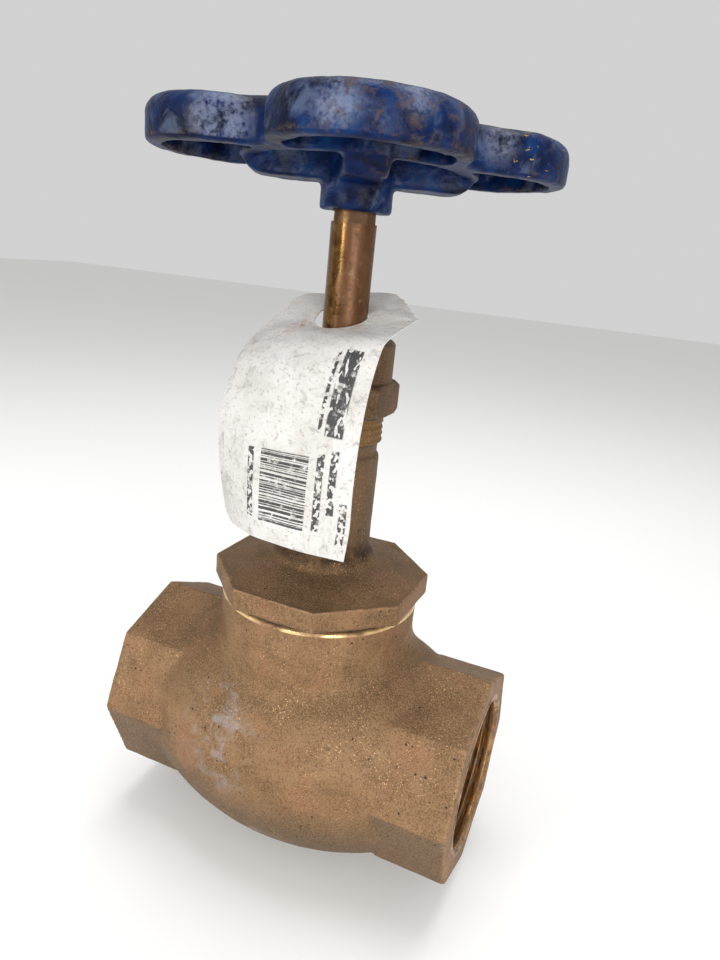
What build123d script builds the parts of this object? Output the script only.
from build123d import *
import os
from math import cos, pi, radians, tan

# Globe valve with screwed ends, screw-in bonnet and rising stem.
# Millimetres. X runs along the flow, Z up along the stem, and the origin of the written
# files is the centre of the inlet face. The functions below work about the point where
# the port axis and the stem axis cross, and save() moves each piece into place.

# Fits and movement
stem_lift = 12.7
closed_gap = 0.05
running_clearance = 0.06
free_clearance = 0.35
thread_clearance = 0.12
thread_crest = 0.3

# Body casting
face_to_face = 117.0
end_length = 22.5
end_wall = 7.79
belly_radius = 39.4
belly_end_radius = 28.4
belly_bite = 6.0
casting_wall = 4.2
neck_top = 47.3
neck_wall = 4.2
neck_blend = 9.0
edge_round = 1.2
face_round = 0.8

# Port threads, drawn as separate rings of the pipe thread's pitch behind a plain lead-in
port_radius = 22.26
port_lead_in = 2.0
port_thread_turns = 7
port_thread_pitch = 2.209
port_land = 0.55
port_run_out = 1.5
port_shoulder = 2.76

# Seat and the wall between the two chambers
seat_bore_radius = 16.5
seat_width = 2.6
seat_height = 2.0
deck_top = 3.0
deck_thickness = 4.5
bridge_wall = 4.0
bridge_reach = 24.0

# Disc, its holder and the stem's button
disc_overlap = 2.4
disc_thickness = 4.0
disc_stand_out = 1.6
disc_nut_across_flats = 13.0
disc_nut_height = 4.6
holder_rim = 2.0
holder_plate = 4.0
holder_wall = 2.0
holder_stud_radius = 4.0
ring_thickness = 2.0
ring_grip = 2.2
button_radius = 8.0
button_height = 4.0

# Stem
stem_radius = 6.3
stem_exposed = 32.9
stem_thread_proud = 1.6
stem_thread_depth = 1.1
stem_thread_pitch = 3.175
stem_neck_radius = 5.0
stem_neck_length = 7.0
collar_width = 1.7
collar_height = 3.2
backseat_gap = 0.3
tang_flat_depth = 0.7
tang_taper = 2.2
tang_below_hub = 2.6
stud_radius = 3.9
small_thread_depth = 0.5
small_thread_pitch = 1.27
stud_past_nut = 1.6

# Bonnet
disc_room = 1.5
skirt_wall = 2.9
joint_thread_depth = 1.1
joint_thread_pitch = 2.309
joint_thread_turns = 6
joint_thread_lead_in = 2.0
joint_step = 0.8
joint_step_inset = 0.6
head_overhang = 0.35
head_height = 6.5
dome_height = 5.4
barrel_wall = 4.2
barrel_length = 32.7
barrel_shoulder = 1.2
undercut_depth = 0.84
undercut_length = 3.8
packing_thread_proud = 0.3
packing_thread_depth = 1.0
packing_thread_length = 15.5
packing_thread_pitch = 1.814

# Stuffing box, packing nut and gland
packing_width = 3.3
packing_ring_height = 4.5
packing_ring_count = 3
stuffing_box_depth = 20.0
stuffing_box_floor = 3.0
gland_nose_length = 9.5
gland_flange_width = 2.6
gland_flange_height = 5.5
nut_wall = 0.93
nut_hex_height = 9.5
nut_hex_chamfer = 1.5
nut_hex_proud = 0.5
nut_hex_turn = -28.0
nut_engagement = 7.5
nut_spare_thread = 1.5
nut_collar_chamfer = 1.0
nut_cap = 5.1

# Handwheel
lobe_count = 4
wheel_radius = 55.8
waist_radius = 30.88
lobe_direction = -62.0
waist_round = 5.0
wheel_height = 11.5
wheel_top_round = 4.8
wheel_bottom_round = 1.6
rim_wall = 4.8
wheel_cover = 3.2
pocket_corner_round = 2.0
waist_fill = 1.1
inner_ring_wall = 4.4
wheel_above_hub = 10.9
hub_wall = 3.7
hub_height = 14.5
hub_round = 1.0
spoke_width = 11.6
spoke_drop = 7.7
spoke_bite = 3.4
spoke_end_round = 5.8
spoke_edge_round = 1.3

# Handwheel nut and plate
plate_radius = 16.5
plate_thickness = 0.8
plate_rim = 0.6
wheel_nut_across_flats = 12.7
wheel_nut_height = 6.8

# Hang tag: a card threaded on the stem, which rests on the nut and curls down in front
tag_width = 40.0
tag_thickness = 0.5
tag_hole_room = 1.6
tag_direction = -97.0
tag_back = 16.0
tag_rise = 0.34
tag_lead = 13.0
tag_bend_radius = 11.0
tag_foot_height = 11.8
tag_lean = 2.0
tag_nut_gap = 0.35

# Radii and widths that follow from the sizes above
end_across_flats = 2 * (port_radius + end_wall)
port_thread_depth = (port_thread_pitch - port_land) / 2 / tan(radians(30))
port_depth = port_lead_in + port_thread_turns * port_thread_pitch + port_run_out
flow_radius = port_radius - port_shoulder
belly_half_length = face_to_face / 2 - end_length + belly_bite
disc_radius = seat_bore_radius + disc_overlap
holder_radius = disc_radius + holder_rim
ring_radius = button_radius + ring_grip
holder_hub_radius = ring_radius + holder_wall
skirt_bore_radius = holder_radius + disc_room
joint_root_radius = skirt_bore_radius + skirt_wall
joint_thread_radius = joint_root_radius + joint_thread_depth
neck_radius = joint_thread_radius + neck_wall
joint_step_radius = neck_radius - joint_step_inset
head_across_flats = 2 * (neck_radius + head_overhang)
stem_thread_radius = stem_radius + stem_thread_proud
collar_radius = stem_thread_radius + collar_width
stuffing_box_radius = stem_radius + packing_width
barrel_radius = stuffing_box_radius + barrel_wall
undercut_radius = barrel_radius - undercut_depth
packing_thread_radius = barrel_radius + packing_thread_proud
gland_flange_radius = stuffing_box_radius + gland_flange_width
nut_bore_radius = packing_thread_radius + thread_clearance
nut_collar_radius = nut_bore_radius + nut_wall
hub_radius = stem_radius + hub_wall
lobe_offset = (wheel_radius ** 2 - waist_radius ** 2) / 2 / (
    wheel_radius - waist_radius * cos(pi / lobe_count))
lobe_radius = wheel_radius - lobe_offset
wheel_ring_outer = waist_radius + waist_fill
wheel_ring_inner = wheel_ring_outer - inner_ring_wall
spoke_reach = wheel_ring_inner + spoke_bite
tag_hole_radius = stem_radius + tag_hole_room

# Heights that follow from the sizes above
stem_x = face_to_face / 2
seat_top = deck_top + seat_height
disc_bottom = seat_top + closed_gap + stem_lift
disc_top = disc_bottom + disc_thickness
holder_bottom = disc_bottom + disc_stand_out
holder_floor = disc_top + holder_plate
button_bottom = holder_floor + free_clearance
button_top = button_bottom + button_height
ring_bottom = button_top + free_clearance
holder_top = ring_bottom + ring_thickness + holder_rim
collar_bottom = button_top + stem_neck_length
collar_top = collar_bottom + collar_height
skirt_ceiling = collar_top + backseat_gap
joint_thread_low = neck_top - joint_thread_lead_in - joint_thread_turns * joint_thread_pitch
head_bottom = neck_top + joint_step
head_top = head_bottom + head_height
dome_top = head_top + dome_height
barrel_top = dome_top + barrel_length
undercut_top = barrel_top + undercut_length
bonnet_top = undercut_top + packing_thread_length
box_floor = bonnet_top - stuffing_box_depth
stem_thread_top = box_floor - stuffing_box_floor
packing_top = box_floor + packing_ring_count * packing_ring_height
gland_flange_bottom = packing_top + gland_nose_length
gland_top = gland_flange_bottom + gland_flange_height
nut_bottom = bonnet_top - nut_engagement
nut_hex_top = nut_bottom + nut_hex_height
nut_top = gland_top + nut_cap
hub_bottom = nut_top + stem_exposed
hub_top = hub_bottom + hub_height
wheel_bottom = hub_bottom + wheel_above_hub
wheel_top = wheel_bottom + wheel_height
plate_top = hub_top + plate_thickness
wheel_nut_top = plate_top + wheel_nut_height
stem_top = wheel_nut_top + stud_past_nut
tag_level = nut_top + tag_nut_gap

# How far a cutter runs past the face that it cuts
overcut = 0.5


def save(name, shape):
    """Move a piece from the valve's centre to its place and write it."""
    export_step(Pos(stem_x, 0, 0) * shape, f"parts/{name}.step")
    print(f"{name}: {shape.volume:.0f} mm3")


def disc(radius, low, high):
    """Upright cylinder about the stem axis between two heights."""
    return Pos(0, 0, low) * Cylinder(radius, high - low, align=(Align.CENTER, Align.CENTER, Align.MIN))


def hexagon(across_flats, low, high):
    """Upright hexagonal prism with a corner on +X."""
    return Pos(0, 0, low) * extrude(RegularPolygon(across_flats / 2, 6, major_radius=False), high - low)


def octagon_sketch(across_flats, turn):
    return Rot(0, 0, turn) * RegularPolygon(across_flats / 2, 8, major_radius=False)


def thread_rings(radius, depth, pitch, start, turns):
    """V rings round the Z axis that point inwards from radius to radius - depth."""
    rings = None
    for turn in range(turns):
        middle = start + (turn + 0.5) * pitch
        half = (pitch - thread_crest) / 2
        tooth = Polyline((radius + overcut, middle - half), (radius, middle - half),
                         (radius - depth, middle), (radius, middle + half),
                         (radius + overcut, middle + half), close=True)
        ring = revolve(Plane.XZ * make_face(tooth), Axis.Z)
        rings = ring if rings is None else rings + ring
    return rings


def threaded_rod(radius, depth, pitch, low, high):
    """Rod with V grooves over as many whole turns as fit between two heights."""
    turns = int((high - low) / pitch)
    start = low + (high - low - turns * pitch) / 2
    return disc(radius, low, high) - thread_rings(radius, depth, pitch, start, turns)


def belly(radius, half_length, end_radius):
    """Barrel about the X axis, widest in the middle."""
    outline = make_face([
        Line((-half_length, 0), (-half_length, end_radius)),
        ThreePointArc((-half_length, end_radius), (0, radius), (half_length, end_radius)),
        Line((half_length, end_radius), (half_length, 0)),
        Line((half_length, 0), (-half_length, 0)),
    ])
    return revolve(outline, Axis.X)


def blended_casting():
    """Barrel and neck in one, with the wide curve of the casting where they meet."""
    solid = belly(belly_radius, belly_half_length, belly_end_radius) + disc(neck_radius, 0, neck_top)
    meeting = [edge for edge in solid.edges()
               if edge.bounding_box().max.Z < neck_top - 1 and edge.bounding_box().min.Z > 1]
    return fillet(meeting, neck_blend)


def end_block(side):
    """Octagonal wrench block at one end, corners on top and in front."""
    plane = Plane(origin=(side * face_to_face / 2, 0, 0), x_dir=(0, 1, 0), z_dir=(-side, 0, 0))
    block = extrude(plane * octagon_sketch(end_across_flats, 0), end_length)
    block = fillet(block.edges().filter_by(Axis.X), edge_round)
    return fillet(block.faces().sort_by(Axis.X)[-1 if side > 0 else 0].edges(), face_round)


def port_cutter(side):
    """Threaded port and the plain way behind it, as one solid to cut away."""
    face = side * face_to_face / 2
    turn = Pos(face, 0, 0) * Rot(0, -90 * side, 0)
    bore = disc(port_radius, 0, port_depth)
    for index in range(port_thread_turns):
        middle = port_lead_in + (index + 0.5) * port_thread_pitch
        half = (port_thread_pitch - port_land) / 2
        groove = Polyline((port_radius - overcut, middle - half), (port_radius, middle - half),
                          (port_radius + port_thread_depth, middle), (port_radius, middle + half),
                          (port_radius - overcut, middle + half), close=True)
        bore += revolve(Plane.XZ * make_face(groove), Axis.Z)
    way = disc(flow_radius, 0, face_to_face / 2 - bridge_reach - bridge_wall)
    return turn * (bore + way)


def chamber_space(low, high):
    """Big box of chamber space between two corners."""
    size = [b - a for a, b in zip(low, high)]
    middle = [(a + b) / 2 for a, b in zip(low, high)]
    return Pos(*middle) * Box(*size)


def valve_body():
    """Bronze casting: two ends, a barrel belly, a neck, and an S-shaped wall that holds the seat."""
    blank = blended_casting()
    for side in (-1, 1):
        blank += end_block(side)
    reach = face_to_face
    inner = belly(belly_radius - casting_wall, belly_half_length - casting_wall,
                  belly_end_radius - casting_wall)
    inner_wall = bridge_reach - bridge_wall
    deck_bottom = deck_top - deck_thickness
    low_side = chamber_space((-reach, -reach, -reach), (-bridge_reach, reach, reach))
    low_side += chamber_space((-reach, -reach, -reach), (inner_wall, reach, deck_bottom))
    high_side = chamber_space((bridge_reach, -reach, -reach), (reach, reach, reach))
    high_side += chamber_space((-inner_wall, -reach, deck_top), (reach, reach, reach))
    shell = blank - (inner & low_side) - (inner & high_side)
    thread_root = joint_thread_radius + thread_clearance
    shell -= disc(joint_root_radius + thread_clearance, deck_top, neck_top)
    shell -= disc(thread_root, joint_thread_low, neck_top) - thread_rings(
        thread_root, joint_thread_depth, joint_thread_pitch, joint_thread_low, joint_thread_turns)
    shell += disc(seat_bore_radius + seat_width, deck_bottom, seat_top)
    shell -= disc(seat_bore_radius, deck_bottom - overcut, seat_top)
    for side in (-1, 1):
        shell -= port_cutter(side)
    return shell


def stacked(*steps):
    """Union of discs given as (radius, low, high)."""
    solid = None
    for step in steps:
        solid = disc(*step) if solid is None else solid + disc(*step)
    return solid


def bonnet():
    """Screw-in bonnet: threaded skirt, octagon head, dome, long barrel and stuffing box."""
    skirt_bottom = joint_thread_low - joint_thread_lead_in
    skirt = disc(joint_thread_radius, joint_thread_low, neck_top - joint_thread_lead_in)
    skirt -= thread_rings(joint_thread_radius, joint_thread_depth, joint_thread_pitch,
                          joint_thread_low, joint_thread_turns)
    solid = skirt + stacked((joint_root_radius, skirt_bottom, neck_top),
                            (joint_step_radius, neck_top, head_bottom))
    head = Pos(0, 0, head_bottom) * extrude(octagon_sketch(head_across_flats, 22.5), head_height)
    solid += fillet(head.edges().filter_by(Axis.Z), edge_round)
    dome_foot = head_across_flats / 2 - edge_round
    slope = make_face(Polyline((0, head_top - 1), (dome_foot, head_top - 1), (dome_foot, head_top),
                               (barrel_radius + dome_height / 2, dome_top - dome_height / 4),
                               (barrel_radius, dome_top + dome_height / 2), (0, dome_top + dome_height / 2),
                               close=True))
    solid += revolve(Plane.XZ * slope, Axis.Z)
    barrel = disc(barrel_radius, head_top, barrel_top)
    solid += fillet(barrel.edges().group_by(Axis.Z)[-1], barrel_shoulder)
    solid += disc(undercut_radius, barrel_top - barrel_shoulder, undercut_top)
    solid += threaded_rod(packing_thread_radius, packing_thread_depth, packing_thread_pitch,
                          undercut_top, bonnet_top)
    return solid - stacked(
        (skirt_bore_radius, skirt_bottom - overcut, skirt_ceiling),
        (stem_thread_radius + running_clearance, skirt_ceiling, stem_thread_top),
        (stem_radius + running_clearance, stem_thread_top, box_floor),
        (stuffing_box_radius, box_floor, bonnet_top + overcut))


def packing_nut():
    """Nut with a hexagon below and a round collar above, which presses the gland down."""
    flat = nut_collar_radius + nut_hex_proud
    hexed = Rot(0, 0, nut_hex_turn) * hexagon(2 * flat, nut_bottom, nut_hex_top)
    corner = flat / cos(pi / 6)
    place = Pos(0, 0, nut_bottom)
    upright = (Align.CENTER, Align.CENTER, Align.MIN)
    wide, narrow = corner + nut_hex_height, corner - nut_hex_chamfer
    trim = place * Cone(wide, narrow, nut_hex_height, align=upright)
    trim &= place * Cone(narrow, wide, nut_hex_height, align=upright)
    collar = disc(nut_collar_radius, nut_bottom, nut_top)
    collar = chamfer(collar.edges().group_by(Axis.Z)[-1], nut_collar_chamfer)
    return (hexed & trim) + collar - stacked(
        (nut_bore_radius, nut_bottom - overcut, bonnet_top + nut_spare_thread),
        (gland_flange_radius + free_clearance, bonnet_top, gland_top),
        (stem_radius + free_clearance, bonnet_top, nut_top + overcut))


def packing_gland():
    """Top-hat bush that squeezes the packing."""
    return stacked((stuffing_box_radius - thread_clearance, packing_top, gland_flange_bottom),
                   (gland_flange_radius, gland_flange_bottom, gland_top)
                   ) - disc(stem_radius + running_clearance, packing_top - overcut, gland_top + overcut)


def packing_ring(index):
    """One ring of packing, counted from the bottom of the stuffing box."""
    low = box_floor + index * packing_ring_height
    high = low + packing_ring_height
    return disc(stuffing_box_radius, low, high) \
        - disc(stem_radius + running_clearance, low - overcut, high + overcut)


def tang(extra):
    """Round stem end with four tapered flats, larger all round by extra."""
    low = hub_bottom - tang_below_hub
    width = 2 * (stem_radius - tang_flat_depth + extra)
    square = extrude(Rectangle(width, width), hub_top - low, taper=tang_taper)
    turn = Rot(0, 0, lobe_direction)
    return turn * (Pos(0, 0, low) * square) & disc(stem_radius + extra, low, hub_top)


def stem():
    """Rising stem: button, neck, backseat collar, thread, rod, tang for the wheel, and stud."""
    solid = stacked((button_radius, button_bottom, button_top), (stem_neck_radius, button_top, collar_bottom),
                    (collar_radius, collar_bottom, collar_top),
                    (stem_radius, collar_top, hub_bottom - tang_below_hub))
    solid += threaded_rod(stem_thread_radius, stem_thread_depth, stem_thread_pitch,
                          collar_top, stem_thread_top - backseat_gap)
    solid += tang(0)
    return solid + threaded_rod(stud_radius, small_thread_depth, small_thread_pitch,
                                hub_top - overcut, stem_top)


def disc_holder():
    """Holder that hangs loose on the stem's button and carries the seat disc."""
    outline = make_face(Polyline(
        (0, disc_top), (disc_radius, disc_top), (disc_radius, holder_bottom),
        (holder_radius, holder_bottom), (holder_radius, disc_top), (holder_hub_radius, holder_floor),
        (holder_hub_radius, holder_top), (0, holder_top), close=True))
    solid = revolve(Plane.XZ * outline, Axis.Z)
    solid += threaded_rod(holder_stud_radius, small_thread_depth, small_thread_pitch,
                          disc_bottom - disc_nut_height - stud_past_nut, disc_top + overcut)
    mouth = button_radius + free_clearance
    slot_height = ring_thickness + running_clearance
    solid -= stacked((mouth, holder_floor, holder_top + overcut),
                     (ring_radius + running_clearance, ring_bottom, ring_bottom + slot_height))
    slot = Box(holder_radius, 2 * (ring_radius + running_clearance), slot_height,
               align=(Align.MIN, Align.CENTER, Align.MIN))
    return solid - Pos(0, 0, ring_bottom) * slot


def horseshoe_ring():
    """Open ring slid in from the side, which keeps the button in the holder."""
    high = ring_bottom + ring_thickness
    inner = stem_neck_radius + free_clearance
    gap = Box(2 * ring_radius, 2 * inner, 4 * ring_thickness, align=(Align.MIN, Align.CENTER, Align.CENTER))
    return disc(ring_radius, ring_bottom, high) - disc(inner, ring_bottom - overcut, high + overcut) \
        - Pos(0, 0, ring_bottom) * gap


def seat_disc():
    """Soft seat disc with a hole for the holder's stud."""
    return disc(disc_radius - running_clearance, disc_bottom, disc_top) \
        - disc(holder_stud_radius + running_clearance, disc_bottom - overcut, disc_top + overcut)


def seat_disc_nut():
    low = disc_bottom - disc_nut_height
    return hexagon(disc_nut_across_flats, low, disc_bottom) \
        - disc(holder_stud_radius + running_clearance, low - overcut, disc_bottom + overcut)


def clover():
    """Outline of the wheel: equal lobes with their waists rounded."""
    lobes = Sketch() + [loc * Circle(lobe_radius)
                        for loc in PolarLocations(lobe_offset, lobe_count, start_angle=lobe_direction)]
    lobes += Circle(wheel_ring_inner)
    return fillet(lobes.vertices(), waist_round)


def spoke():
    """Deep spoke along +X from the stem axis, its lower outer corner well rounded."""
    low = hub_top - spoke_drop
    bar = Pos(0, 0, low) * Box(spoke_reach, spoke_width, spoke_drop,
                               align=(Align.MIN, Align.CENTER, Align.MIN))
    end = bar.edges().filter_by(Axis.Y).group_by(Axis.Z)[0].sort_by(Axis.X)[-1]
    bar = fillet(end, spoke_end_round)
    sides = [e for e in bar.edges() if abs(abs(e.center().Y) - spoke_width / 2) < 0.01
             and e.center().Z < hub_top - spoke_end_round / 4 and e.center().X > hub_radius / 2]
    return fillet(sides, spoke_edge_round)


def handwheel():
    """Cast wheel: hollow lobes open below, a ring round the middle, deep spokes and a hub."""
    outline = clover()
    rim = Pos(0, 0, wheel_bottom) * extrude(outline, wheel_height)
    rim = fillet(rim.edges().group_by(Axis.Z)[-1], wheel_top_round)
    rim = fillet(rim.edges().group_by(Axis.Z)[0], wheel_bottom_round)
    for index in range(lobe_count):
        turn = Rot(0, 0, lobe_direction + index * 360 / lobe_count)
        pocket = Pos(lobe_offset, 0) * Circle(lobe_radius - rim_wall) - Circle(wheel_ring_outer)
        pocket = fillet(pocket.vertices(), pocket_corner_round)
        rim -= turn * Pos(0, 0, wheel_bottom - overcut) * extrude(
            pocket, wheel_height - wheel_cover + overcut)
    rim -= disc(wheel_ring_inner, wheel_bottom - overcut, wheel_top + overcut)
    hub = fillet(disc(hub_radius, hub_bottom, hub_top).edges().group_by(Axis.Z)[0], hub_round)
    for index in range(lobe_count):
        hub += Rot(0, 0, lobe_direction + index * 360 / lobe_count) * spoke()
    return rim + hub - tang(running_clearance)


def identification_plate():
    """Thin round plate with a small raised rim, held between hub and nut."""
    plate = disc(plate_radius, hub_top, plate_top)
    rim = disc(plate_radius, plate_top, plate_top + plate_rim)
    rim -= disc(plate_radius - plate_thickness, plate_top - overcut, plate_top + plate_rim + overcut)
    return plate + rim - disc(stud_radius + running_clearance, hub_top - overcut, plate_top + overcut)


def handwheel_nut():
    return hexagon(wheel_nut_across_flats, plate_top, wheel_nut_top) \
        - disc(stud_radius + running_clearance, plate_top - overcut, wheel_nut_top + overcut)


def hang_tag():
    """Card tag with a round hole, lying on the packing nut and hanging down in front of it."""
    edge = nut_collar_radius
    back = (-tag_back, tag_level + tag_rise * (edge + tag_back))
    corner = (edge + tag_lead, tag_level - tag_rise * tag_lead)
    foot = (edge + tag_lead - tag_lean, head_top + tag_foot_height)
    path = FilletPolyline(back, corner, foot, radius=tag_bend_radius)
    card = extrude(Plane.XZ * trace(path, tag_thickness), tag_width / 2, both=True)
    hole = disc(tag_hole_radius, corner[1], back[1])
    return Rot(0, 0, tag_direction) * (Pos(0, 0, tag_thickness) * card - hole)


parts = {
    "valve_body": valve_body,
    "bonnet": bonnet,
    "packing_nut": packing_nut,
    "packing_gland": packing_gland,
    "packing_ring_lower": lambda: packing_ring(0),
    "packing_ring_middle": lambda: packing_ring(1),
    "packing_ring_upper": lambda: packing_ring(2),
    "stem": stem,
    "disc_holder": disc_holder,
    "horseshoe_ring": horseshoe_ring,
    "seat_disc": seat_disc,
    "seat_disc_nut": seat_disc_nut,
    "handwheel": handwheel,
    "identification_plate": identification_plate,
    "handwheel_nut": handwheel_nut,
    "hang_tag": hang_tag,
}

if __name__ == "__main__":
    os.makedirs("parts", exist_ok=True)
    for name, make in parts.items():
        save(name, make())
